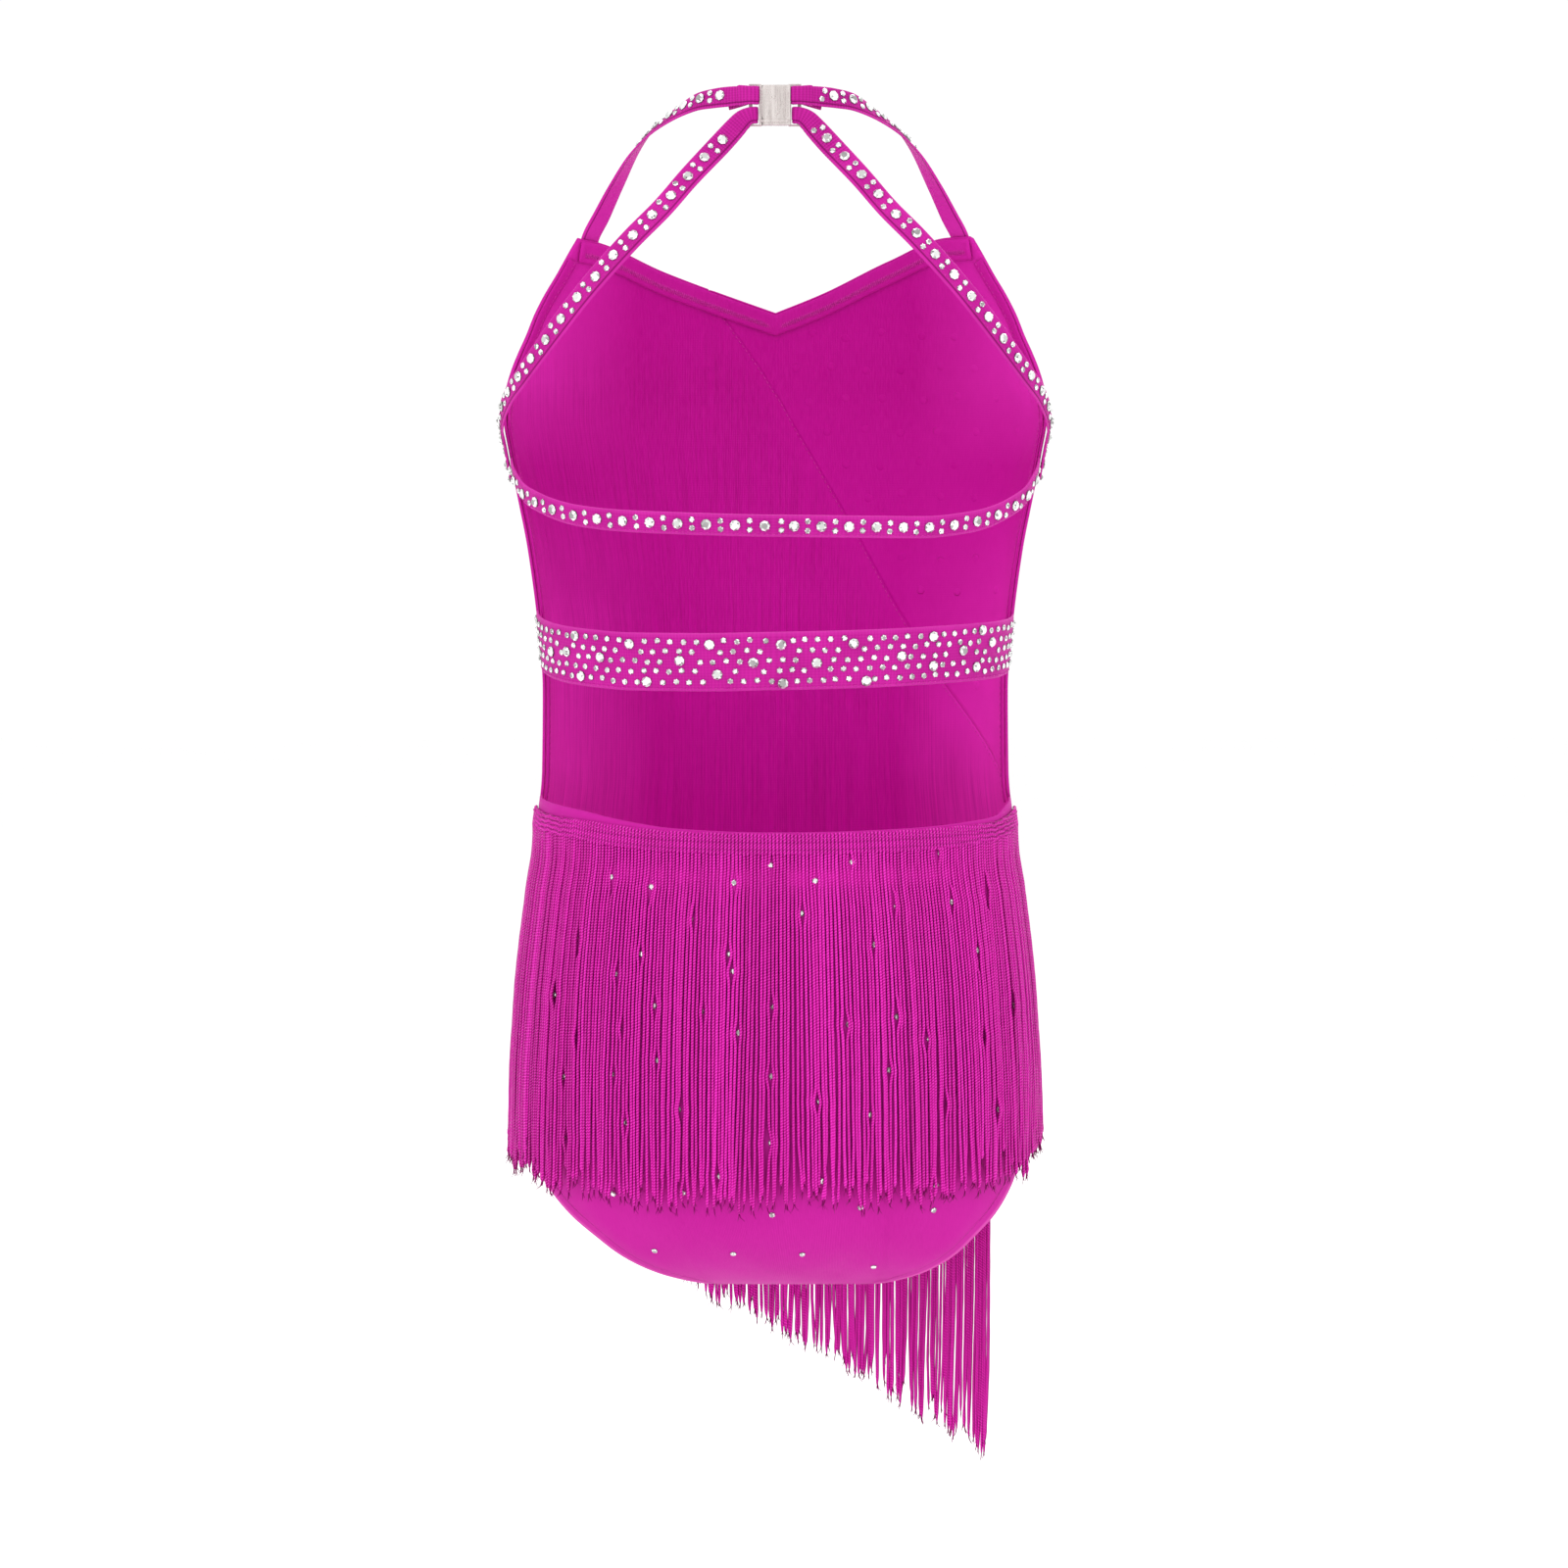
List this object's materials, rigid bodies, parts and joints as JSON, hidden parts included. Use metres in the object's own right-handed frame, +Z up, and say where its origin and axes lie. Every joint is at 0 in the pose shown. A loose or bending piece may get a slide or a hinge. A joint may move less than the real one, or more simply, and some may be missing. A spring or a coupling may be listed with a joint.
{
  "type": "latin dance leotard",
  "caption": "Girls' open-back latin dance leotard in magenta stretch cloth, with stoned bands and straps, a clear nape clasp and twisted-cord fringe.",
  "frame": {"origin": "the inner face of the clasp, where it rests on the wearer's nape", "axes": "+Z up along the upright wearer, +X towards the wearer's right, +Y towards the garment's front, -Y towards its back"},
  "size_m": [0.2518, 0.1851, 0.6338],
  "materials": {
    "stretch_cloth": "satin",
    "covered_elastic": "satin",
    "fringe_cord": "satin",
    "rhinestone": "faceted",
    "sewing_thread": "matte",
    "clear_plastic": "clear"
  },
  "bodies": {
    "root": {"front_main": "stretch_cloth", "front_upper_right": "stretch_cloth", "back_brief": "stretch_cloth", "upper_band": "covered_elastic", "waist_band": "covered_elastic", "back_strap_right": "covered_elastic", "back_strap_left": "covered_elastic", "halter_strap_right": "covered_elastic", "halter_strap_left": "covered_elastic", "neck_binding": "stretch_cloth", "side_binding_right": "stretch_cloth", "side_binding_left": "stretch_cloth", "back_fringe": "fringe_cord", "front_fringe": "fringe_cord", "clasp_hook_right": "clear_plastic", "clasp_eye_left": "clear_plastic"}
  },
  "joints": []
}
